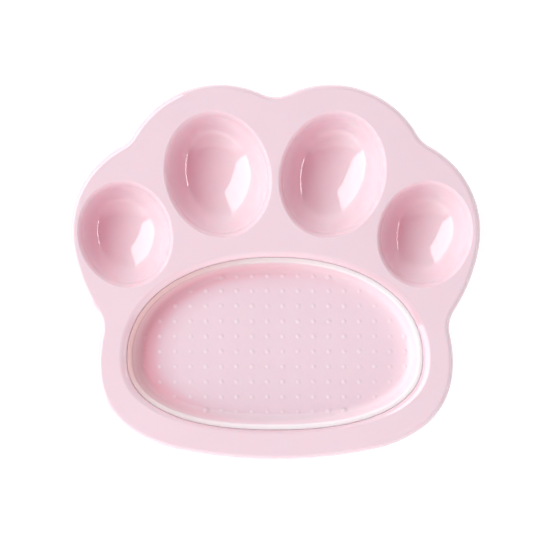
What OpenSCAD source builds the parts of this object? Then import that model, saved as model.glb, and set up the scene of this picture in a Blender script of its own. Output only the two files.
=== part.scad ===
// Paw-shaped pet feeding dish: a moulded tray with four toe wells and a palm recess,
// a soft lick pad that lifts out of the recess, and six non-slip feet.
// The origin is on the resting surface under the middle of the dish. +Y points to the
// toes, +X to the right toe and +Z up. Millimetres.

/* [Tray] */
// Width across the two outer toes
tray_w = 205.6; // [190:0.2:225]
// Height of the deck above the resting surface
tray_h = 32; // [30:0.5:40]
// Thickness of the moulded walls
wall_t = 2.3; // [1.6:0.1:2.6]
// Radius that rounds the deck into the skirt
edge_r = 2.6; // [2:0.1:2.8]
// How far the skirt spreads between its top and its foot
skirt_flare = 0.6; // [0.2:0.1:0.8]

/* [Toe wells] */
// Depth of the two inner toe wells
inner_well_h = 22; // [18:0.5:24]
// Depth of the two outer toe wells
outer_well_h = 20; // [16:0.5:22]
// Lean of each well away from the middle, in degrees
well_lean = 15; // [0:1:20]
// Width of the rounded lip round each well
well_lip = 1.2; // [0.8:0.1:1.4]

/* [Lick pad] */
// Depth of the pad's floor below the deck
pad_floor_h = 11; // [9:0.5:13]
// Thickness of the pad
pad_t = 2; // [1.5:0.1:2.5]
// Clearance between the pad's edge and the recess
pad_gap = 0.4; // [0.3:0.05:0.6]
// Spacing of the nubs from left to right
nub_pitch_x = 7.7; // [7.4:0.1:7.8]
// Spacing of the nubs from row to row
nub_pitch_y = 7.6; // [7.3:0.1:7.7]
// Diameter of a nub at its root
nub_d = 2.9; // [2:0.1:3.4]
// Height of a nub
nub_h = 1; // [0.6:0.1:1.4]

/* [Feet] */
// Radius of a foot's disc
foot_r = 5.5; // [4.5:0.25:6]
// How far a foot holds the tray off the surface
foot_h = 1.5; // [1:0.25:2.5]
// Length of a foot's stem
stem_h = 8; // [5:0.5:12]

/* [Hidden] */
tray_colour = [0.95, 0.80, 0.86];
pad_colour = [0.97, 0.93, 0.93];
foot_colour = [0.90, 0.88, 0.88];
over = 1;  // how far a cut reaches past the face it opens

// Outline, right half from the heel's middle to the crown: each arc's radius, and the
// heading in degrees where it ends. A negative radius is a notch, which curves inwards.
RIM = [
    [238.5, 12],  // heel
    [66, 33],
    [38.5, 84],   // heel corner
    [61, 103],    // palm's flank
    [-15.5, 57],  // notch between palm and outer toe
    [84.5, 80],
    [48.5, 152],  // outer toe
    [-15, 120],   // notch between the toes
    [50.5, 205]   // inner toe
];
crown_heading = 180;
outer_toe = 6;  // index of the arc that reaches furthest to the right
inner_toe = 8;  // index of the arc that reaches furthest up
rim_step = 8;   // degrees turned between two points of the outline

function rim_heading(i) = i == 0 ? 0 : RIM[i - 1][1];
function rim_run(i, to) = RIM[i][0] * (sin(to) - sin(rim_heading(i)));
function rim_rise(i, to) = RIM[i][0] * (cos(rim_heading(i)) - cos(to));
function total(list, i = 0) = i == len(list) ? 0 : list[i] + total(list, i + 1);

// The crown's notch takes the radius that brings the outline back to the middle.
crown_r = total([for (i = [0:len(RIM) - 1]) rim_run(i, RIM[i][1])]) / sin(RIM[inner_toe][1]);
ARCS = concat(RIM, [[crown_r, crown_heading]]);
rim_half_w = total([for (i = [0:outer_toe - 1]) rim_run(i, RIM[i][1])]) + rim_run(outer_toe, 90);
rim_l = total([for (i = [0:inner_toe - 1]) rim_rise(i, RIM[i][1])]) + rim_rise(inner_toe, 180);
k = tray_w / (2 * rim_half_w);

// Heights of the tray, its palm recess and the pad
skirt_z = foot_h;
under_z = tray_h - wall_t;
recess_z = tray_h - pad_floor_h - pad_t;

// Palm recess: two half superellipses on one centre, as [half width, length towards the
// toes, length towards the heel].
PALM_Y = -42.75 * k;
PALM_DECK = [77.75, 53.5, 37.9] * k;
PALM_SEAM = [73.95, 50.15, 36.1] * k;
palm_power_toes = 2.12;
palm_power_heel = 2.36;
palm_points = 60;
recess_lip_h = 2.8;   // from the deck down the recess's rounded lip
ledge_h = 5.4;        // from the deck down to the ledge under the pad's rim
rim_w = 2.8;          // the pad's rim
rim_top_h = 2.2;      // from the deck down to the top of the rim
rim_round_h = 1.25;
pad_draft = 1.8;      // how far the pad's wall leans in on its way down
floor_r = 4;          // between the pad's floor and its wall, inside
sole_r = 4.5;         // and outside
round_steps = 4;

// Toe wells: centre, the half axes of the wall's top edge and the lean, for the right side
WELLS = [
    [[28.6, 48.6] * k, [26, 31.3] * k, inner_well_h],
    [[74.7, 18.8] * k, [23.1, 26.2] * k, outer_well_h]
];
well_points = 30;
bowl_power_plan = 2.3;
bowl_power_depth = 2;
bowl_steps = 6;

// Nubs in each row, from the toe end to the heel end
NUB_ROWS = [8, 12, 14, 16, 18, 18, 18, 16, 14, 10];
nub_first_y = -1.9 * k;

// Feet and the posts that hold them, right side: between the toes, beside the palm, heel
FEET = [[66, 56] * k, [80, -18] * k, [73.5, -68] * k];
stem_r = 2.5;
stem_squeeze = 0.05;
post_r = 4.8;
post_roof = 2;  // left solid above a post's bore

// Ribs under the deck, right side: start, end and depth
RIBS = [
    [[60, 63], [70, 50], 14],
    [[84, -22], [73, -12], 12],
    [[79, -74], [66, -62], 12],
    [[30, -91], [27, -76], 10]
];
CENTRE_RIBS = [
    [[0, 87], [0, 62], 14],
    [[0, -93], [0, -76], 10]
];
rib_t = 1.8;

// The right half of the outline moved inwards by inset, as points
function half_rim(inset, i = 0, at = undef) =
    let (p = is_undef(at) ? [0, inset - rim_l * k / 2] : at)
    i == len(ARCS) ? [p] :
    let (
        h0 = i == 0 ? 0 : ARCS[i - 1][1],
        h1 = ARCS[i][1],
        r = ARCS[i][0] * k - inset,
        n = ceil(abs(h1 - h0) / rim_step)
    )
    concat(
        [for (j = [0:n - 1]) let (h = h0 + (h1 - h0) * j / n) p + r * turned(h0, h)],
        half_rim(inset, i + 1, p + r * turned(h0, h1))
    );

// Where an arc of radius 1 gets to while its heading turns from one angle to the other
function turned(from, to) = [sin(to) - sin(from), cos(from) - cos(to)];

// The whole outline, as a closed ring at height z
function rim_ring(inset, z) =
    let (half = half_rim(inset), n = len(half))
    [for (i = [0:2 * n - 3]) i < n ? [half[i].x, half[i].y, z]
                                   : [-half[2 * n - 2 - i].x, half[2 * n - 2 - i].y, z]];

function power(base, exponent) = sign(base) * pow(abs(base), exponent);

// A palm-shaped ring; size is [half width, length to the toes, length to the heel]
function palm_ring(size, z) =
    [for (i = [0:palm_points - 1])
        let (
            a = 360 * i / palm_points,
            toes = sin(a) >= 0,
            p = 2 / (toes ? palm_power_toes : palm_power_heel)
        )
        [size[0] * power(cos(a), p), PALM_Y + size[toes ? 1 : 2] * power(sin(a), p), z]];

function grown(size, by) = [for (v = size) v + by];
function between(from, to, part) = from + (to - from) * part;
function reversed(list) = [for (i = [len(list) - 1:-1:0]) list[i]];

// Rings from a level floor up round its edge; at is how far the wall that rises from it
// lies outside the pad's seam
function floor_edge(at, low, r) =
    [for (i = [0:round_steps])
        let (a = 90 * i / round_steps)
        palm_ring(grown(PALM_SEAM, at - r * (1 - sin(a))), low + r * (1 - cos(a)))];

// A leaning ellipse round a well's centre, mirrored by side
function well_ring(well, side, axes, z) =
    [for (i = [0:well_points - 1])
        let (
            a = 360 * i / well_points,
            x = axes[0] * cos(a),
            y = axes[1] * sin(a),
            lean = -side * well_lean
        )
        [side * well[0].x + x * cos(lean) - y * sin(lean),
         well[0].y + x * sin(lean) + y * cos(lean), z]];

// The bowl's section as [part of the rim's half axes, part of the depth]
function bowl(step) =
    let (a = 86 * step / bowl_steps)
    [pow(cos(a), 2 / bowl_power_plan), pow(sin(a), 2 / bowl_power_depth)];

// A closed solid through rings of equal length, stacked from the first to the last
module loft(rings) {
    n = len(rings[0]);
    last = len(rings) - 1;
    sides = [for (r = [0:last - 1], i = [0:n - 1])
        let (a = r * n + i, b = r * n + (i + 1) % n)
        each [[a, b, b + n], [a, b + n, a + n]]];
    bottom = [for (i = [1:n - 2]) [0, i + 1, i]];
    top = [for (i = [1:n - 2]) [last * n, last * n + i, last * n + i + 1]];
    polyhedron(
        points = [for (ring = rings, p = ring) p],
        faces = [for (f = concat(bottom, sides, top)) [f[2], f[1], f[0]]]
    );
}

module outer_form() {
    steps = 5;
    foot_round = 0.6;
    loft(concat(
        [rim_ring(foot_round, skirt_z), rim_ring(0, skirt_z + foot_round)],
        [for (i = [0:steps])
            let (a = 90 * i / steps)
            rim_ring(skirt_flare + edge_r * (1 - cos(a)), tray_h - edge_r * (1 - sin(a)))]
    ));
}

module hollow_form() {
    corner = max(edge_r - wall_t, 0.5);
    loft([
        rim_ring(wall_t, skirt_z - over),
        rim_ring(wall_t + skirt_flare, under_z - corner),
        rim_ring(wall_t + skirt_flare + corner, under_z)
    ]);
}

// A toe well's rings from its lowest point up to its lip; by > 0 gives the outside of
// its wall
function well_rings(well, side, by) =
    let (depth = well[2] + by - well_lip)
    [for (i = [bowl_steps:-1:0])
        let (b = bowl(i))
        well_ring(well, side, grown(well[1], by) * b[0], tray_h - well_lip - depth * b[1])];

module well_wall_form(well, side) {
    loft(concat(
        well_rings(well, side, wall_t),
        [well_ring(well, side, grown(well[1], wall_t), tray_h)]
    ));
}

// The space in a toe well, with the rounded lip that opens it on to the deck
module well_space(well, side) {
    steps = 3;
    loft(concat(
        well_rings(well, side, 0),
        [for (i = [1:steps])
            let (a = 90 * i / steps)
            well_ring(well, side, grown(well[1], well_lip * (1 - cos(a))),
                      tray_h - well_lip * (1 - sin(a)))],
        [well_ring(well, side, grown(well[1], well_lip), tray_h + over)]
    ));
}

// The space that the pad drops into
module palm_space() {
    seat = grown(PALM_SEAM, pad_gap);
    wall = pad_gap + pad_t - rim_w;
    loft(concat(
        floor_edge(wall - pad_draft, recess_z, sole_r),
        [palm_ring(grown(PALM_SEAM, wall), tray_h - ledge_h),
         palm_ring(seat, tray_h - ledge_h)],
        [for (i = [0:round_steps])
            let (a = 90 * i / round_steps)
            palm_ring(between(seat, PALM_DECK, 1 - cos(a)), tray_h - recess_lip_h * (1 - sin(a)))],
        [palm_ring(PALM_DECK, tray_h + over)]
    ));
}

// The outside of the wall round that space
module palm_wall_form() {
    wall = pad_gap + pad_t - rim_w + wall_t;
    seat = grown(PALM_SEAM, pad_gap + wall_t);
    ledge_z = tray_h - ledge_h - wall_t;
    loft(concat(
        floor_edge(wall - pad_draft, recess_z - wall_t, sole_r + wall_t),
        [palm_ring(grown(PALM_SEAM, wall), ledge_z), palm_ring(seat, ledge_z),
         palm_ring(seat, tray_h)]
    ));
}

module rib(from, to, depth) {
    run = to - from;
    translate([from.x, from.y, under_z - depth])
        rotate([0, 0, atan2(run.y, run.x)])
            translate([0, -rib_t / 2, 0])
                cube([norm(run), rib_t, depth + wall_t]);
}

module at_feet() {
    for (at = FEET, side = [-1, 1])
        translate([side * at.x, at.y, 0])
            children();
}

// What the hollow under the deck leaves standing: the walls of the wells and the recess,
// the ribs, and the posts for the feet
module under_deck() {
    for (well = WELLS, side = [-1, 1])
        well_wall_form(well, side);
    palm_wall_form();
    for (r = RIBS, side = [-1, 1])
        rib([side * r[0].x, r[0].y] * k, [side * r[1].x, r[1].y] * k, r[2]);
    for (r = CENTRE_RIBS)
        rib(r[0] * k, r[1] * k, r[2]);
    at_feet()
        translate([0, 0, skirt_z])
            cylinder(r = post_r, h = tray_h - skirt_z, $fn = 36);
}

module tray_shell() {
    color(tray_colour)
        difference() {
            outer_form();
            difference() {
                hollow_form();
                under_deck();
            }
            for (well = WELLS, side = [-1, 1])
                well_space(well, side);
            palm_space();
            at_feet()
                translate([0, 0, skirt_z - over])
                    cylinder(r = stem_r, h = under_z - post_roof - skirt_z + over, $fn = 36);
        }
}

// How far a point lies outside the level part of the pad's floor
function past_floor(at) =
    let (
        size = grown(PALM_SEAM, -rim_w - pad_draft - floor_r),
        toes = at.y >= PALM_Y,
        p = toes ? palm_power_toes : palm_power_heel,
        reach = size[toes ? 1 : 2],
        q = [abs(at.x) / size[0], abs(at.y - PALM_Y) / reach],
        part = pow(pow(q.x, p) + pow(q.y, p), 1 / p),
        slope = norm([pow(q.x, p - 1) / size[0], pow(q.y, p - 1) / reach]) * pow(part, 1 - p)
    )
    max(0, (part - 1) / slope);

// A blunt nub that stands on the floor, or on the round beside it, with its root sunk in
module nub(at) {
    tip = 0.55;
    root = 0.8;
    lift = floor_r - sqrt(pow(floor_r, 2) - pow(past_floor(at), 2));
    translate([at.x, at.y, recess_z + pad_t + lift - root])
        cylinder(d1 = nub_d * (1 + (1 - tip) * root / nub_h), d2 = nub_d * tip,
                 h = root + nub_h, $fn = 16);
}

module pad_dish() {
    rim_steps = 6;
    rim_z = tray_h - rim_top_h;
    ledge_z = tray_h - ledge_h + pad_gap;
    foot_of_wall = -rim_w - pad_draft;
    loft(concat(
        floor_edge(foot_of_wall + pad_t, recess_z, sole_r),
        [palm_ring(grown(PALM_SEAM, pad_t - rim_w), ledge_z), palm_ring(PALM_SEAM, ledge_z)],
        [for (i = [0:rim_steps])
            let (a = 180 * i / rim_steps)
            palm_ring(grown(PALM_SEAM, -rim_w / 2 * (1 - cos(a))),
                      rim_z - rim_round_h * (1 - sin(a)))],
        reversed(floor_edge(foot_of_wall, recess_z + pad_t, floor_r))
    ));
}

module lick_pad() {
    color(pad_colour)
        union() {
            pad_dish();
            for (row = [0:len(NUB_ROWS) - 1], i = [0:NUB_ROWS[row] - 1])
                nub([(i - (NUB_ROWS[row] - 1) / 2) * nub_pitch_x * k,
                     nub_first_y - row * nub_pitch_y * k]);
        }
}

// A disc under the post, with a stem pressed up its bore
module foot(at, side) {
    color(foot_colour)
        translate([side * at.x, at.y, 0])
            union() {
                cylinder(r = foot_r, h = foot_h, $fn = 36);
                cylinder(r = stem_r + stem_squeeze, h = foot_h + stem_h, $fn = 36);
            }
}

tray_shell();
lick_pad();
foot(FEET[0], 1);  // foot_toe_right
foot(FEET[1], 1);  // foot_side_right
foot(FEET[2], 1);  // foot_heel_right
foot(FEET[0], -1);  // foot_toe_left
foot(FEET[1], -1);  // foot_side_left
foot(FEET[2], -1);  // foot_heel_left
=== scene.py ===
"""A paw-shaped pet feeding dish: glossy pink tray, milky lick pad and six soft feet.

Metres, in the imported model's own frame. The outline, the wells and the recess are scaled
and placed by the boxes of the tray and the pad, and each foot by its own box.
"""
import math

import bmesh
import bpy
import numpy as np
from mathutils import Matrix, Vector
from mathutils.geometry import delaunay_2d_cdt


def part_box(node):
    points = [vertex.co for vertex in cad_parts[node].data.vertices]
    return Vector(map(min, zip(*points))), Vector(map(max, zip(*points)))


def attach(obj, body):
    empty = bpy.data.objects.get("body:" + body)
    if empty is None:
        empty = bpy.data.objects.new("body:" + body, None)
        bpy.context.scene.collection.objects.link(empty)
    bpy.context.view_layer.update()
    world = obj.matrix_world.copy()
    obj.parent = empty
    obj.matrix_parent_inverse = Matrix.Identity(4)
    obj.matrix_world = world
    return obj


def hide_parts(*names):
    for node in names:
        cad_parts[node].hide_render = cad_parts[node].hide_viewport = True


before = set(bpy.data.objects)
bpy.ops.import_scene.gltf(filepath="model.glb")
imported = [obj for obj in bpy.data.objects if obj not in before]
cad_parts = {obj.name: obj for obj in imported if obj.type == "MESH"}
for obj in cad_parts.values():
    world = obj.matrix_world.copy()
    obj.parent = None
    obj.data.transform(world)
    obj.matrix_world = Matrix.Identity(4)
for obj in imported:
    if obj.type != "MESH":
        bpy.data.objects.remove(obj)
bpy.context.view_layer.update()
TRAY_LO, TRAY_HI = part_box("tray_shell")
PAD_LO, PAD_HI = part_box("lick_pad")

MM = 0.001
DECK_Z = TRAY_HI.z
SKIRT_Z = TRAY_LO.z
FEET = sorted(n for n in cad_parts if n.startswith("foot_"))

# ---------------------------------------------------------------- outline of the tray

# Right half from the heel's middle to the crown: arc radius in millimetres (negative in
# a notch) and the heading in degrees where the arc ends.
RIM = [(238.5, 12), (66, 33), (38.5, 84), (61, 103), (-15.5, 57), (84.5, 80),
       (48.5, 152), (-15, 120), (50.5, 205)]
OUTER_TOE, INNER_TOE = 6, 8


def turned(start, end):
    """Where an arc of radius 1 gets to while its heading turns from start to end."""
    a, b = math.radians(start), math.radians(end)
    return np.array([math.sin(b) - math.sin(a), math.cos(a) - math.cos(b)])


def travelled(last, heading):
    """How far the outline has come, in millimetres, when arc last reaches a heading."""
    at = np.zeros(2)
    start = 0
    for i, (radius, end) in enumerate(RIM[:last + 1]):
        at += radius * turned(start, heading if i == last else end)
        start = end
    return at


CROWN_R = travelled(INNER_TOE, RIM[-1][1])[0] / math.sin(math.radians(RIM[-1][1]))
ARCS = RIM + [(CROWN_R, 180)]
K = (TRAY_HI.x - TRAY_LO.x) / (2 * travelled(OUTER_TOE, 90)[0])
HALF_LENGTH = travelled(INNER_TOE, 180)[1] * K / 2


def rim_ring(inset, z, step=2.5):
    """The outline moved inwards by inset, at height z."""
    at = np.array([0.0, inset - HALF_LENGTH])
    half = []
    start = 0
    for radius, end in ARCS:
        r = radius * K - inset
        n = math.ceil(abs(end - start) / step)
        half += [at + r * turned(start, start + (end - start) * j / n) for j in range(n)]
        at = at + r * turned(start, end)
        start = end
    half.append(at)
    ring = half + [p * (-1, 1) for p in half[-2:0:-1]]
    return [(p[0], p[1], z) for p in ring]


# ---------------------------------------------------------------- palm recess and wells

SEAM = np.array([73.95, 50.15, 36.1]) * K
PALM_Y = (PAD_LO.y + PAD_HI.y + SEAM[2] - SEAM[1]) / 2
PALM_DECK = np.array([77.75, 53.5, 37.9]) * K
PALM_POWERS = (2.12, 2.36)
PAD_GAP = 0.4 * MM       # round the pad's sloped wall
SEAM_GAP = 0.03 * MM     # round its rim, a hairline
RIM_W = 2.8 * MM
PAD_T = 2 * MM
PAD_DRAFT = 1.8 * MM
FLOOR_R = 4 * MM
SOLE_R = 4.5 * MM
LEDGE_H = 5.4 * MM
RECESS_LIP_H = 2.3 * MM
RECESS_LIP_FLATNESS = 1.4
WALL = 2.3 * MM
EDGE_R = 2.6 * MM
FLARE = 0.6 * MM
UNDER_Z = DECK_Z - WALL
RECESS_Z = PAD_LO.z

# Centre, half axes of the wall's top edge and depth, in millimetres, for the right side
WELLS = [((28.6, 48.6), (26, 31.3), 22), ((74.7, 18.8), (23.1, 26.2), 20)]
WELL_LEAN = 15
WELL_LIP = 1.2 * MM
LIP_SET_BACK = 0.5 * MM  # how far the bowl's edge is moved in before it is blended
BOWL_POWERS = (2.3, 2)


def signed_power(base, exponent):
    """A power that keeps the sign of its base."""
    return math.copysign(abs(base) ** exponent, base)


def palm_ring(grow, z, size=SEAM, points=160):
    """A ring of the palm's shape: two half superellipses on one centre."""
    ring = []
    for i in range(points):
        a = 2 * math.pi * i / points
        toes = math.sin(a) >= 0
        p = 2 / PALM_POWERS[0 if toes else 1]
        reach = size[1 if toes else 2] + grow
        ring.append(((size[0] + grow) * signed_power(math.cos(a), p),
                     PALM_Y + reach * signed_power(math.sin(a), p), z))
    return ring


def well_ring(well, side, grow, scale, z, points=96):
    """A ring of a toe well: a leaning ellipse. grow is in metres, scale shrinks it."""
    (cx, cy), axes, _ = well
    lean = math.radians(-side * WELL_LEAN)
    ring = []
    for i in range(points):
        a = 2 * math.pi * i / points
        x = (axes[0] * K + grow) * scale * math.cos(a)
        y = (axes[1] * K + grow) * scale * math.sin(a)
        ring.append((side * cx * K + x * math.cos(lean) - y * math.sin(lean),
                     cy * K + x * math.sin(lean) + y * math.cos(lean), z))
    return ring


def bowl_section(depth, steps):
    """Pairs of scale and drop, from the rim to just short of the bowl's middle."""
    pairs = []
    for i in range(steps + 1):
        a = math.radians(88.5 * i / steps)
        pairs.append((math.cos(a) ** (2 / BOWL_POWERS[0]),
                      depth * math.sin(a) ** (2 / BOWL_POWERS[1])))
    return pairs


def well_section(depth, axes):
    """Pairs of scale and drop from the deck down to near the bowl's middle. The corner
    between the deck and the bowl is set back, then blended over a lip's width either way
    by averaging."""
    semi = sum(axes) / 2 * K / MM
    lip, set_back = WELL_LIP / MM, LIP_SET_BACK / MM
    window = np.linspace(-lip, lip, 1601)

    def drop(g):
        at = g + window + set_back
        s = np.clip(1 + at / semi, -1, 1)
        bowl = lip + (depth - lip) * (1 - np.abs(s) ** BOWL_POWERS[0]) ** (1 / BOWL_POWERS[1])
        return float(np.where(at > 0, 0, bowl).mean())

    fine, coarse = 28, 34
    near = [lip * (1 - 0.15 * i) for i in range(fine)]
    last = 0.05 * semi - semi
    far = [near[-1] + (last - near[-1]) * (i / coarse) for i in range(1, coarse + 1)]
    return [(1 + g / semi, drop(g) * MM) for g in near + far]


# ---------------------------------------------------------------- mesh building

class Builder:
    """Collects rings of points, the bands between them and the flat faces that end them."""

    def __init__(self):
        self.points = []
        self.faces = []

    def ring(self, points):
        first = len(self.points)
        self.points += [tuple(p) for p in points]
        return list(range(first, len(self.points)))

    def band(self, a, b):
        n = len(a)
        for i in range(n):
            j = (i + 1) % n
            self.faces.append((a[i], a[j], b[j], b[i]))

    def stack(self, rings):
        """Joins rings of points one after the other; returns the first and last."""
        made = [self.ring(r) for r in rings]
        for a, b in zip(made, made[1:]):
            self.band(a, b)
        return made[0], made[-1]

    def add(self, other):
        first = len(self.points)
        self.points += other.points
        self.faces += [tuple(first + i for i in f) for f in other.faces]

    def cap(self, ring, middle=None):
        """Closes a ring with a fan round its middle."""
        around = np.array([self.points[i] for i in ring])
        centre = len(self.points)
        self.points.append(tuple(middle if middle is not None else around.mean(0)))
        n = len(ring)
        for i in range(n):
            self.faces.append((ring[i], ring[(i + 1) % n], centre))

    def flat(self, outer, holes):
        """Fills the level area inside one ring and outside the others."""
        loops = [outer] + holes
        order = [i for loop in loops for i in loop]
        coords = [Vector(self.points[i][:2]) for i in order]
        edges = []
        first = 0
        for loop in loops:
            n = len(loop)
            edges += [(first + i, first + (i + 1) % n) for i in range(n)]
            first += n
        out, _, faces, origin, _, _ = delaunay_2d_cdt(coords, edges, [], 0, 1e-9)
        if len(out) != len(coords):
            raise ValueError("the rings of a flat area cross")
        index = [order[o[0]] for o in origin]
        middles = np.array([np.mean([out[i] for i in f], axis=0) for f in faces])
        keep = inside(middles, np.array([self.points[i][:2] for i in outer]))
        for hole in holes:
            keep &= ~inside(middles, np.array([self.points[i][:2] for i in hole]))
        self.faces += [tuple(index[i] for i in f) for f, k in zip(faces, keep) if k]

    def make(self, name, smooth=True, sharp=None):
        mesh = bpy.data.meshes.new(name)
        mesh.from_pydata(self.points, [], self.faces)
        mesh.validate()
        tidy_mesh(mesh, smooth, sharp)
        obj = bpy.data.objects.new(name, mesh)
        bpy.context.scene.collection.objects.link(obj)
        return obj


def inside(points, loop):
    """Which points lie inside a closed loop, by counting crossings."""
    x, y = points[:, 0], points[:, 1]
    hit = np.zeros(len(points), bool)
    for (x1, y1), (x2, y2) in zip(loop, np.roll(loop, -1, axis=0)):
        if y1 != y2:
            crosses = (y1 > y) != (y2 > y)
            hit ^= crosses & (x < (x2 - x1) * (y - y1) / (y2 - y1) + x1)
    return hit


def tidy_mesh(mesh, smooth=True, sharp=None):
    """Turns faces outwards, drops loose and zero-area bits, and sets the shading."""
    bm = bmesh.new()
    bm.from_mesh(mesh)
    bmesh.ops.remove_doubles(bm, verts=bm.verts, dist=1e-7)
    bmesh.ops.dissolve_degenerate(bm, edges=bm.edges, dist=1e-7)
    bmesh.ops.delete(bm, geom=[v for v in bm.verts if not v.link_faces], context="VERTS")
    bmesh.ops.recalc_face_normals(bm, faces=bm.faces)
    bm.to_mesh(mesh)
    bm.free()
    if smooth:
        mesh.shade_smooth()
    if sharp is not None:
        mesh.set_sharp_from_angle(angle=math.radians(sharp))
    mesh.update()


def combine(target, tools, operation="DIFFERENCE"):
    """Cuts the tools from the target, or joins them to it, and bakes its mesh."""
    for tool in tools:
        step = target.modifiers.new(operation, "BOOLEAN")
        step.operation = operation
        step.solver = "MANIFOLD"
        step.object = tool
    graph = bpy.context.evaluated_depsgraph_get()
    mesh = bpy.data.meshes.new_from_object(target.evaluated_get(graph))
    target.modifiers.clear()
    mesh.materials.clear()
    target.data = mesh
    for tool in tools:
        bpy.data.objects.remove(tool)


def closed(name, rings, sharp=None):
    """A closed solid through a stack of rings, with a fan at each end."""
    b = Builder()
    first, last = b.stack(rings)
    b.cap(first)
    b.cap(last)
    return b.make(name, sharp=sharp)


def lathe(centre, section, points=48):
    """Rings round an upright axis, from a section of (radius, z) pairs."""
    return [[(centre[0] + r * math.cos(2 * math.pi * i / points),
              centre[1] + r * math.sin(2 * math.pi * i / points), z)
             for i in range(points)] for r, z in section]


# ---------------------------------------------------------------- tray

def quarter(steps, flatness=1.0):
    """Pairs along a quarter circle from a wall to the level: how far in from the wall, and
    how far below the level. A flatness over 1 turns the circle towards a chamfer."""
    return [(1 - abs(math.cos(a)) ** flatness, 1 - math.sin(a) ** flatness)
            for a in (math.pi / 2 * i / steps for i in range(steps + 1))]


def floor_edge(wall, low, r, steps=8):
    """Points of (grow, z) from a wall down and round into the level floor inside it."""
    angles = (math.pi / 2 * i / steps for i in range(steps + 1))
    return ([(wall - r * (1 - math.cos(a)), low + r * (1 - math.sin(a))) for a in angles]
            + [(wall - r - 0.3 * MM, low)])


def tray_block():
    """The tray's outside as a solid: skirt, deck, wells and recess, not yet hollowed."""
    b = Builder()
    foot_r = 0.6 * MM
    support = 0.22 * MM      # a narrow level band, so that rounded edges don't tilt the deck
    rim = [(foot_r * (1 - math.sin(a)), SKIRT_Z + foot_r * (1 - math.cos(a)))
           for a in (math.pi / 2 * i / 4 for i in range(5))]
    rim += [(FLARE * t, SKIRT_Z + foot_r + (DECK_Z - EDGE_R - SKIRT_Z - foot_r) * t)
            for t in (0.02, 0.25, 0.5, 0.75, 0.98)]
    rim += [(FLARE + EDGE_R * x, DECK_Z - EDGE_R * y) for x, y in quarter(10)]
    rim += [(FLARE + EDGE_R + support, DECK_Z)]
    bottom, deck_edge = b.stack([rim_ring(inset, z) for inset, z in rim])
    b.cap(bottom)

    holes = []
    for well in WELLS:
        for side in (-1, 1):
            rings = [well_ring(well, side, support, 1 + WELL_LIP / (sum(well[1]) / 2 * K), DECK_Z)]
            rings += [well_ring(well, side, 0, s, DECK_Z - d)
                      for s, d in well_section(well[2], well[1])]
            top, low = b.stack(rings)
            centre = (side * well[0][0] * K, well[0][1] * K, DECK_Z - well[2] * MM)
            b.cap(low, centre)
            holes.append(top)

    seat = SEAM_GAP
    inner = PAD_GAP + PAD_T - RIM_W
    ledge_z = DECK_Z - LEDGE_H
    rings = [palm_ring(support, DECK_Z, PALM_DECK)]
    for x, y in reversed(quarter(12, RECESS_LIP_FLATNESS)):
        size = (SEAM + seat) * (1 - x) + PALM_DECK * x
        rings.append(palm_ring(0, DECK_Z - RECESS_LIP_H * y, size))
    path = [(seat, ledge_z + 0.5 * MM), (seat - 0.12 * MM, ledge_z + 0.12 * MM),
            (seat - 0.5 * MM, ledge_z), (inner + 0.4 * MM, ledge_z),
            (inner + 0.1 * MM, ledge_z - 0.1 * MM), (inner, ledge_z - 0.4 * MM)]
    path += floor_edge(inner - PAD_DRAFT, RECESS_Z, SOLE_R)
    rings += [palm_ring(g, z) for g, z in path]
    top, low = b.stack(rings)
    b.cap(low)
    holes.append(top)
    b.flat(deck_edge, holes)
    return b.make("tray_body")


def box_between(name, start, end, low, high, thick, draft):
    """A thin upright rib with a little draft, as a closed solid."""
    run = Vector(end) - Vector(start)
    side = Vector((-run.y, run.x)).normalized()
    b = Builder()
    rings = []
    for z, w in ((low, thick - draft), (high, thick)):
        rings.append([(p.x + s * side.x * w / 2, p.y + s * side.y * w / 2, z)
                      for p, s in ((Vector(start), -1), (Vector(end), -1),
                                   (Vector(end), 1), (Vector(start), 1))])
    first, last = b.stack(rings)
    b.faces += [tuple(first), tuple(last)]
    return b.make(name, smooth=False)


def post(name, centre, radius, low, high):
    """An upright cylinder, closed at both ends."""
    return closed(name, lathe(centre, [(radius, low), (radius, high)]))


# Ribs under the deck in millimetres, right side: start, end and depth
RIBS = [((60, 63), (70, 50), 14), ((84, -22), (73, -12), 12),
        ((79, -74), (66, -62), 12), ((30, -91), (27, -76), 10)]
CENTRE_RIBS = [((0, 87), (0, 62), 14), ((0, -93), (0, -76), 10)]
STEM_R = 2.5 * MM
POST_R = 4.8 * MM


def foot_centre(node):
    """Where a foot stands, from its box."""
    lo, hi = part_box(node)
    return ((lo.x + hi.x) / 2, (lo.y + hi.y) / 2)


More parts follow.
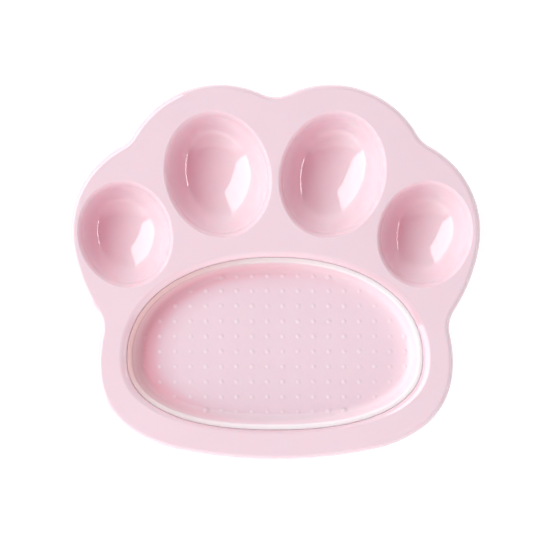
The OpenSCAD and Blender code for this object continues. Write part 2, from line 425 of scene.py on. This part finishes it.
def hollow():
    """The space under the deck, with the walls, ribs and posts left standing in it."""
    corner = 1.2 * MM
    path = [(WALL - 0.35 * MM, SKIRT_Z - 1 * MM), (WALL - 0.35 * MM, SKIRT_Z),
            (WALL, SKIRT_Z + 0.35 * MM), (WALL + FLARE, UNDER_Z - corner)]
    path += [(WALL + FLARE + corner * x, UNDER_Z - corner * y) for x, y in quarter(4)[1:]]
    space = closed("hollow", [rim_ring(inset, z) for inset, z in path])
    tools = []
    top = DECK_Z + 2 * MM
    for well in WELLS:
        for side in (-1, 1):
            depth = well[2] * MM + WALL - WELL_LIP
            rings = [well_ring(well, side, WALL, 1, top, 72)]
            rings += [well_ring(well, side, WALL, s, DECK_Z - WELL_LIP - d, 72)
                      for s, d in bowl_section(depth, 24)]
            tools.append(closed("well_wall", rings))
    inner = PAD_GAP + PAD_T - RIM_W
    seat = PAD_GAP + WALL
    path = [(seat, top), (seat, DECK_Z - LEDGE_H - WALL), (inner + WALL, DECK_Z - LEDGE_H - WALL)]
    path += floor_edge(inner + WALL - PAD_DRAFT, RECESS_Z - WALL, SOLE_R + WALL)
    tools.append(closed("recess_wall", [palm_ring(g, z) for g, z in path]))
    for start, end, depth in CENTRE_RIBS + RIBS:
        for side in ((1,) if start[0] == 0 else (-1, 1)):
            a, c = [(side * p[0] * K, p[1] * K) for p in (start, end)]
            tools.append(box_between("rib", a, c, UNDER_Z - depth * MM, top, 1.8 * MM, 0.4 * MM))
    for node in FEET:
        tools.append(post("post", foot_centre(node), POST_R, SKIRT_Z, top))
    combine(space, tools)
    return space


def make_tray():
    """The tray's solid, hollowed from below, with a bore up each post."""
    tray = tray_block()
    tools = [hollow()]
    for node in FEET:
        tools.append(post("bore", foot_centre(node), STEM_R, SKIRT_Z - 1 * MM, UNDER_Z - 2 * MM))
    combine(tray, tools)
    tidy_mesh(tray.data, True, 38)
    return tray


# ---------------------------------------------------------------- lick pad

NUB_ROWS = [8, 12, 14, 16, 18, 18, 18, 16, 14, 10]
NUB_PITCH = (7.7 * K, 7.6 * K)
NUB_FIRST_Y = -1.9 * K
NUB_R = 1.45 * MM
NUB_H = 0.6 * MM
RIM_TOP = 2.2 * MM
RIM_ROUND_H = 1.25 * MM
# Exponents of the rim's outer and inner half, across and up: 1 is round and 0 square
RIM_ACROSS = (0.45, 0.6)
RIM_UP = (0.4, 0.9)
PAD_FLOOR_Z = RECESS_Z + PAD_T


def nub_places():
    """The middle of each nub, row by row from the toes to the heel."""
    for row, count in enumerate(NUB_ROWS):
        for i in range(count):
            yield ((i - (count - 1) / 2) * NUB_PITCH[0], NUB_FIRST_Y - row * NUB_PITCH[1])


def past_floor(x, y):
    """How far a point lies outside the level part of the pad's floor."""
    size = SEAM - RIM_W - PAD_DRAFT - FLOOR_R
    toes = y >= PALM_Y
    p = PALM_POWERS[0 if toes else 1]
    reach = size[1 if toes else 2]
    qx, qy = abs(x) / size[0], abs(y - PALM_Y) / reach
    part = (qx ** p + qy ** p) ** (1 / p)
    slope = math.hypot(qx ** (p - 1) / size[0], qy ** (p - 1) / reach) * part ** (1 - p)
    return max(0.0, (part - 1) / slope)


def make_nub(place):
    """A soft bump that stands on the floor, or on the round beside it, root sunk in."""
    root = 0.9 * MM
    proud = 0.01 * MM
    base = PAD_FLOOR_Z + FLOOR_R - math.sqrt(FLOOR_R ** 2 - past_floor(*place) ** 2)
    section = [(NUB_R * 1.5, base - root), (NUB_R * 1.12, base - 0.08 * MM)]
    section += [(NUB_R * r, base + proud + NUB_H * (0.5 + 0.5 * math.cos(math.pi * r)))
                for r in (1, 0.85, 0.7, 0.55, 0.4, 0.25, 0.1)]
    b = Builder()
    low, tip = b.stack(lathe(place, section, 20))
    b.cap(low)
    b.cap(tip, (*place, base + proud + NUB_H))
    return b


def make_pad():
    """The pad's moulding from its sole round its rim to its floor, with the nubs joined on."""
    rim_z = DECK_Z - RIM_TOP
    ledge_z = DECK_Z - LEDGE_H + PAD_GAP
    foot_of_wall = -RIM_W - PAD_DRAFT
    path = floor_edge(foot_of_wall + PAD_T, RECESS_Z, SOLE_R)[::-1]
    path += [(PAD_T - RIM_W - 0.2 * MM, ledge_z - 0.5 * MM), (PAD_T - RIM_W, ledge_z - 0.1 * MM),
             (PAD_T - RIM_W + 0.1 * MM, ledge_z), (-0.3 * MM, ledge_z), (0, ledge_z + 0.3 * MM)]
    for a in (math.pi * i / 18 for i in range(19)):
        half = 0 if a < math.pi / 2 else 1
        across = signed_power(math.cos(a), RIM_ACROSS[half])
        up = math.sin(a) ** RIM_UP[half]
        path.append((-RIM_W / 2 * (1 - across), rim_z - RIM_ROUND_H * (1 - up)))
    path += floor_edge(foot_of_wall, PAD_FLOOR_Z, FLOOR_R)
    b = Builder()
    low, floor = b.stack([palm_ring(g, z) for g, z in path])
    b.cap(low)
    b.cap(floor)
    pad = b.make("lick_pad_skin")
    nubs = Builder()
    for place in nub_places():
        nubs.add(make_nub(place))
    combine(pad, [nubs.make("nubs")], "UNION")
    tidy_mesh(pad.data, True, 38)
    # Level faces are shaded flat, so that the nubs' smooth shading can't streak them.
    for face in pad.data.polygons:
        if face.normal.z > 0.99999 and abs(face.center.z - PAD_FLOOR_Z) < 0.001 * MM:
            face.use_smooth = False
    return pad


# ---------------------------------------------------------------- feet

def make_foot(node):
    """A soft disc with two ring grooves in its sole and a stem up the bore."""
    lo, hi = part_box(node)
    centre = foot_centre(node)
    radius = (hi.x - lo.x) / 2
    sole, shoulder, tip = lo.z, SKIRT_Z, hi.z
    groove = 0.35 * MM
    section = []
    slope = 0.03
    for inner, outer in ((0.28, 0.42), (0.60, 0.74)):
        section += [(radius * inner, sole), (radius * (inner + slope), sole + groove),
                    (radius * (outer - slope), sole + groove), (radius * outer, sole)]
    round_r = 0.5 * MM
    section += [(radius - round_r * (1 - math.sin(a)), sole + round_r * (1 - math.cos(a)))
                for a in (math.pi / 2 * i / 4 for i in range(5))]
    section += [(radius, shoulder - 0.15 * MM), (radius - 0.15 * MM, shoulder),
                (STEM_R + 0.2 * MM, shoulder), (STEM_R - 0.02 * MM, shoulder + 0.2 * MM),
                (STEM_R - 0.02 * MM, tip - 0.6 * MM), (STEM_R - 0.5 * MM, tip)]
    return closed(node + "_skin", lathe(centre, section), 35)


# ---------------------------------------------------------------- materials

DECK_PINK = (0.89, 0.69, 0.76)
PAD_PINK = (0.855, 0.675, 0.745)
# Paler nub tops: partly the thicker milky material, partly painted highlight.
NUB_MILK_AND_HIGHLIGHT = (0.93, 0.77, 0.83)
# How much the right, heel and toe sides of the palm count as far from the key light
FAR_FROM_KEY = (0.9, 0.5, -0.25)
AWAY_FROM_KEY = (0.93, -0.25, 0)


def material(name):
    """A new material, with its nodes, its links and its shader."""
    m = bpy.data.materials.new(name)
    m.use_nodes = True
    return m, m.node_tree.nodes, m.node_tree.links, m.node_tree.nodes["Principled BSDF"]


def object_place(nodes):
    """Where a point lies in its piece's own space, so that colours move with the piece."""
    return nodes.new("ShaderNodeTexCoord").outputs["Object"]


def noise(nodes, links, scale, detail, roughness=0.5):
    """A noise texture in the piece's own space; scale is per metre."""
    n = nodes.new("ShaderNodeTexNoise")
    n.inputs["Scale"].default_value = scale
    n.inputs["Detail"].default_value = detail
    n.inputs["Roughness"].default_value = roughness
    links.new(object_place(nodes), n.inputs["Vector"])
    return n.outputs["Fac"]


def ramp(nodes, links, value, stops):
    """Turns a value into a colour, through stops of (position, colour)."""
    r = nodes.new("ShaderNodeValToRGB")
    for i, (at, colour) in enumerate(stops):
        stop = r.color_ramp.elements[i] if i < 2 else r.color_ramp.elements.new(at)
        stop.position = at
        stop.color = (*colour, 1)
    links.new(value, r.inputs["Fac"])
    return r.outputs["Color"]


def spread(nodes, links, value, low, high, start=0.0, end=1.0):
    """Maps a value between start and end on to low to high, easing in and out."""
    m = nodes.new("ShaderNodeMapRange")
    m.interpolation_type = "SMOOTHSTEP"
    m.inputs["From Min"].default_value = start
    m.inputs["From Max"].default_value = end
    m.inputs["To Min"].default_value = low
    m.inputs["To Max"].default_value = high
    links.new(value, m.inputs["Value"])
    return m.outputs["Result"]


def bump(nodes, links, height, strength, distance, normal=None):
    """A normal with the height's slopes added to it."""
    b = nodes.new("ShaderNodeBump")
    if normal is not None:
        links.new(normal, b.inputs["Normal"])
    b.inputs["Strength"].default_value = strength
    b.inputs["Distance"].default_value = distance
    links.new(height, b.inputs["Height"])
    return b.outputs["Normal"]


def facing_away(nodes, links):
    """Rises from 0 to 1 on the walls that turn their backs on the key light."""
    across = nodes.new("ShaderNodeVectorMath")
    across.operation = "DOT_PRODUCT"
    across.inputs[1].default_value = AWAY_FROM_KEY
    links.new(nodes.new("ShaderNodeNewGeometry").outputs["Normal"], across.inputs[0])
    return spread(nodes, links, across.outputs["Value"], 0, 1, -0.25, 0.75)


def mixed(nodes, links, factor, a, b, kind="MIX"):
    """Blends two colours, each a socket or a plain colour; without a factor, fully."""
    blend = nodes.new("ShaderNodeMix")
    blend.data_type = "RGBA"
    blend.blend_type = kind
    if factor is None:
        blend.inputs["Factor"].default_value = 1
    else:
        links.new(factor, blend.inputs["Factor"])
    for socket, colour in zip(blend.inputs[6:8], (a, b)):
        if isinstance(colour, tuple):
            socket.default_value = (*colour, 1)
        else:
            links.new(colour, socket)
    return blend.outputs[2]


def mottled(nodes, links, colour, cloud, darkest):
    """The colour with a faint uneven cast."""
    cast = ramp(nodes, links, cloud, [(0.3, (darkest,) * 3), (0.7, (1, 1, 1))])
    return mixed(nodes, links, None, colour, cast, "MULTIPLY")


def maths(nodes, links, operation, a, b=None):
    """A maths node on two values, each a socket or a number."""
    m = nodes.new("ShaderNodeMath")
    m.operation = operation
    for i, value in enumerate((a, b)):
        if isinstance(value, (int, float)):
            m.inputs[i].default_value = value
        elif value is not None:
            links.new(value, m.inputs[i])
    return m.outputs[0]


def softened(nodes, links, factor):
    """The surface's normal turned towards straight up, as if the light had spread out
    inside a soft material before it came back."""
    blend = nodes.new("ShaderNodeMix")
    blend.data_type = "VECTOR"
    links.new(factor, blend.inputs["Factor"])
    links.new(nodes.new("ShaderNodeNewGeometry").outputs["Normal"], blend.inputs[4])
    blend.inputs[5].default_value = (0, 0, 1)
    unit = nodes.new("ShaderNodeVectorMath")
    unit.operation = "NORMALIZE"
    links.new(blend.outputs[1], unit.inputs[0])
    return unit.outputs["Vector"]


def well_reach(nodes, links):
    """0 on the axis of the nearest toe well and 1 at the top edge of its wall."""
    nearest = None
    for (cx, cy), axes, _ in WELLS:
        for side in (-1, 1):
            local = nodes.new("ShaderNodeMapping")
            local.vector_type = "TEXTURE"
            local.inputs["Location"].default_value = (side * cx * K, cy * K, 0)
            local.inputs["Rotation"].default_value = (0, 0, math.radians(-side * WELL_LEAN))
            local.inputs["Scale"].default_value = (axes[0] * K, axes[1] * K, 1e6)
            links.new(object_place(nodes), local.inputs["Vector"])
            reach = nodes.new("ShaderNodeVectorMath")
            reach.operation = "LENGTH"
            links.new(local.outputs["Vector"], reach.inputs[0])
            reach = reach.outputs["Value"]
            nearest = reach if nearest is None else maths(nodes, links, "MINIMUM", nearest, reach)
    return nearest


def palm_reach(nodes, links):
    """0 in the palm's middle and 1 at its seam; how far a point lies from the key, as a
    share of the palm's half size; and the point's height."""
    split = nodes.new("ShaderNodeSeparateXYZ")
    links.new(object_place(nodes), split.inputs["Vector"])
    x = maths(nodes, links, "DIVIDE", split.outputs["X"], float(SEAM[0]))
    y = maths(nodes, links, "SUBTRACT", split.outputs["Y"], float(PALM_Y))
    toes = maths(nodes, links, "DIVIDE", maths(nodes, links, "MAXIMUM", y, 0.0), float(SEAM[1]))
    heel = maths(nodes, links, "DIVIDE", maths(nodes, links, "MINIMUM", y, 0.0), float(-SEAM[2]))
    power = sum(PALM_POWERS) / 2
    total = None
    for part in (maths(nodes, links, "ABSOLUTE", x), toes, heel):
        part = maths(nodes, links, "POWER", part, power)
        total = part if total is None else maths(nodes, links, "ADD", total, part)
    reach = maths(nodes, links, "POWER", total, 1 / power)
    shares = [maths(nodes, links, "MULTIPLY", part, weight)
              for part, weight in zip((x, heel, toes), FAR_FROM_KEY)]
    far = maths(nodes, links, "ADD", shares[0], maths(nodes, links, "ADD", shares[1], shares[2]))
    return reach, far, split.outputs["Z"]


def pink_plastic():
    """Glossy moulded plastic: faint flow marks, a slight orange peel, painted shade deepening the pink
    on the toe wells' walls turned from the key light, painted light on those facing it, and
    painted light and shade on the recess lip."""
    m, nodes, links, shader = material("pink_gloss_plastic")
    reach = well_reach(nodes, links)
    # Painted shade: deeper pink on the toe wells' walls turned from the key light, strongest at mid
    # depth and paler towards the lip.
    painted_well_shade = ramp(nodes, links, reach, [(0.5, (0.995, 0.40, 0.53)), (0.68, (1.0, 0.46, 0.575)),
                                      (0.9, (1.0, 0.60, 0.70)), (1.0, (1.0, 0.76, 0.83))])
    # Painted light: paler pink on the toe wells' walls that face the key light.
    lit = ramp(nodes, links, reach, [(0.5, (0.955, 0.73, 0.79)), (1.0, (0.945, 0.76, 0.82))])
    well = mixed(nodes, links, facing_away(nodes, links), lit, painted_well_shade)
    inside_well = spread(nodes, links, reach, 1, 0, 0.98, 1.05)
    palm, far, _ = palm_reach(nodes, links)
    # Painted light and shade on the recess lip: lighter and pinker on the key light's side, darker on
    # the far side.
    lip = ramp(nodes, links, spread(nodes, links, far, 0, 1, -0.7, 0.7),
               [(0.1, (0.975, 0.68, 0.76)), (0.9, (0.79, 0.56, 0.63))])
    painted_lip_mask = spread(nodes, links, palm, 1, 0, 1.005, 1.06)
    deck = mixed(nodes, links, painted_lip_mask, DECK_PINK, lip)
    colour = mixed(nodes, links, inside_well, deck, well)
    flow = noise(nodes, links, 22, 2)
    links.new(mottled(nodes, links, colour, flow, 0.98), shader.inputs["Base Color"])
    links.new(spread(nodes, links, noise(nodes, links, 260, 4), 0.02, 0.045), shader.inputs["Roughness"])
    links.new(bump(nodes, links, noise(nodes, links, 420, 2), 0.05, 0.0002), shader.inputs["Normal"])
    shader.inputs["IOR"].default_value = 1.5
    shader.inputs["Coat Weight"].default_value = 0.8
    shader.inputs["Coat Roughness"].default_value = 0.015
    shader.inputs["Coat IOR"].default_value = 1.5
    shader.inputs["Subsurface Weight"].default_value = 0.3
    shader.inputs["Subsurface Radius"].default_value = (1.0, 0.45, 0.5)
    shader.inputs["Subsurface Scale"].default_value = 0.0012
    return m


def milky_elastomer():
    """Soft translucent moulding: painted shade and shadow in a pink band along its wall and the
    floor beside it on the key light's side, painted light on the far side, paler nub tops that
    are partly its milky thickness and partly painted highlight, and a cream rim with painted
    shade on the key light's side.
    """
    m, nodes, links, shader = material("milky_elastomer")
    reach, far, height = palm_reach(nodes, links)
    far_side = spread(nodes, links, far, 0, 1, -0.95, 0.6)
    on_rim = spread(nodes, links, height, 0, 1, PAD_HI.z - 1.6 * MM, PAD_HI.z - 0.7 * MM)
    # Painted shade and cast shadow: a deeper pink band along the pad's wall and the floor beside it, on
    # the key light's side.
    shade = ramp(nodes, links, reach, [(0.66, PAD_PINK), (0.77, (0.83, 0.60, 0.68)),
                                       (0.83, (0.85, 0.49, 0.57)), (0.89, (0.94, 0.48, 0.56)),
                                       (0.95, (1.0, 0.68, 0.71))])
    # Painted light: paler along the wall on the side away from the key light.
    painted_far_light = ramp(nodes, links, reach, [(0.80, PAD_PINK), (0.90, (0.92, 0.73, 0.79)),
                                        (0.95, (0.97, 0.79, 0.84))])
    dish = mixed(nodes, links, far_side, shade, painted_far_light)
    # Paler nub tops: partly the thicker milky material, partly painted highlight.
    on_nub = maths(nodes, links, "MULTIPLY", spread(nodes, links, reach, 0.55, 0, 0.80, 0.90),
                  spread(nodes, links, height, 0, 1, PAD_FLOOR_Z, PAD_FLOOR_Z + 0.3 * MM))
    dish = mixed(nodes, links, on_nub, dish, NUB_MILK_AND_HIGHLIGHT)
    # The rim: cream on the far side, darkened by painted shade towards the key light's side.
    rim = ramp(nodes, links, far_side, [(0.0, (0.765, 0.50, 0.512)), (0.3, (0.82, 0.70, 0.715)),
                                        (1.0, (0.97, 0.86, 0.89))])
    colour = mixed(nodes, links, on_rim, dish, rim)
    cloud = noise(nodes, links, 30, 2)
    links.new(mottled(nodes, links, colour, cloud, 0.98), shader.inputs["Base Color"])
    links.new(spread(nodes, links, noise(nodes, links, 300, 3), 0.34, 0.46), shader.inputs["Roughness"])
    soft = softened(nodes, links, spread(nodes, links, reach, 0.72, 0, 0.83, 0.94))
    grain = noise(nodes, links, 900, 2)
    links.new(bump(nodes, links, grain, 0.08, 0.0002, soft), shader.inputs["Normal"])
    shader.inputs["IOR"].default_value = 1.41
    shader.inputs["Subsurface Weight"].default_value = 0.6
    shader.inputs["Subsurface Radius"].default_value = (1.0, 0.8, 0.85)
    shader.inputs["Subsurface Scale"].default_value = 0.0015
    return m


def foot_elastomer():
    """Matt off-white elastomer with a fine grain."""
    m, nodes, links, shader = material("foot_elastomer")
    grain = noise(nodes, links, 700, 4, 0.6)
    colour = ramp(nodes, links, grain, [(0.3, (0.72, 0.68, 0.68)), (0.75, (0.80, 0.77, 0.77))])
    links.new(colour, shader.inputs["Base Color"])
    links.new(spread(nodes, links, grain, 0.55, 0.75), shader.inputs["Roughness"])
    links.new(bump(nodes, links, grain, 0.25, 0.0003), shader.inputs["Normal"])
    shader.inputs["Subsurface Weight"].default_value = 0.2
    shader.inputs["Subsurface Scale"].default_value = 0.002
    return m


def studio_floor():
    """Plain white board, lit through from below like a light table."""
    m, nodes, links, shader = material("white_board")
    cloud = noise(nodes, links, 3, 2)
    colour = ramp(nodes, links, cloud, [(0.3, (0.49, 0.49, 0.49)), (0.7, (0.51, 0.51, 0.51))])
    links.new(colour, shader.inputs["Base Color"])
    shader.inputs["Roughness"].default_value = 0.9
    shader.inputs["Specular IOR Level"].default_value = 0.1
    shader.inputs["Emission Color"].default_value = (1, 1, 1, 1)
    shader.inputs["Emission Strength"].default_value = 0.74
    return m


# ---------------------------------------------------------------- studio

def panel(name, azimuth, low, high, left, right, radiance, lights=True):
    """An upright rectangular light at 1 m; azimuth 0 is +X and 90 is +Y, left and right
    are measured along it as seen from the dish. If lights is false, it only shows up in
    reflections."""
    distance = 1.0
    data = bpy.data.lights.new(name, "AREA")
    data.shape = "RECTANGLE"
    data.size, data.size_y = right - left, high - low
    data.energy = radiance * math.pi * data.size * data.size_y
    light = bpy.data.objects.new(name, data)
    a = math.radians(azimuth)
    out, across = Vector((math.cos(a), math.sin(a), 0)), Vector((math.sin(a), -math.cos(a), 0))
    light.location = out * distance + across * (left + right) / 2 + Vector((0, 0, (low + high) / 2))
    light.rotation_mode = "QUATERNION"
    light.rotation_quaternion = (-out).to_track_quat("-Z", "Y")
    light.visible_diffuse = lights
    bpy.context.scene.collection.objects.link(light)


def make_world():
    """White screens all round, up to 27 degrees above the horizon, and a dim ceiling."""
    screens, ceiling, overhead = (0.88,) * 3, (0.22,) * 3, (0.26,) * 3
    edge, half_blend = 0.4575, 0.0025
    world = bpy.data.worlds.new("studio")
    bpy.context.scene.world = world
    world.use_nodes = True
    nodes, links = world.node_tree.nodes, world.node_tree.links
    place = nodes.new("ShaderNodeTexCoord")
    split = nodes.new("ShaderNodeSeparateXYZ")
    links.new(place.outputs["Generated"], split.inputs["Vector"])
    colour = ramp(nodes, links, split.outputs["Z"],
                  [(0.0, screens), (edge - half_blend, screens), (edge + half_blend, ceiling),
                   (1.0, overhead)])
    links.new(colour, nodes["Background"].inputs["Color"])
    nodes["Background"].inputs["Strength"].default_value = 1.0


def make_floor():
    """A wide board, a hair under the feet."""
    b = Builder()
    half = 2.5
    clearance = 0.2 * MM
    corners = b.ring([(-half, -half, 0), (half, -half, 0), (half, half, 0), (-half, half, 0)])
    b.faces.append(tuple(corners))
    floor = b.make("floor", smooth=False)
    floor.location.z = -clearance
    floor.data.materials.append(studio_floor())


def make_camera():
    """Straight above the dish on a long lens. field is the width seen at the deck."""
    distance = 1.4
    field = 0.2732
    aim_y = -1.5 * MM
    data = bpy.data.cameras.new("camera")
    data.sensor_width = 36
    data.lens = 36 * (distance - DECK_Z) / field
    data.clip_start, data.clip_end = 0.05, 20
    camera = bpy.data.objects.new("camera", data)
    camera.location = (0, aim_y, distance)
    bpy.context.scene.collection.objects.link(camera)
    bpy.context.scene.camera = camera


def main():
    make_camera()
    make_world()
    make_floor()
    panel("key", 142, low=0.6, high=2.92, left=-2.14, right=0.55, radiance=3.3)
    panel("front_card", 272, low=0.1, high=1.48, left=-1.38, right=1.38, radiance=0.7)
    panel("right_strip", 2, low=0.52, high=0.57, left=-0.38, right=0.42, radiance=8, lights=False)

    tray = make_tray()
    tray.data.materials.append(pink_plastic())
    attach(tray, "tray")
    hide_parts("tray_shell")

    pad = make_pad()
    pad.data.materials.append(milky_elastomer())
    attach(pad, "pad")
    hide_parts("lick_pad")

    rubber = foot_elastomer()
    for node in FEET:
        foot = make_foot(node)
        foot.data.materials.append(rubber)
        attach(foot, "tray")
        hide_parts(node)

    bpy.context.scene.view_settings.view_transform = "Standard"


main()
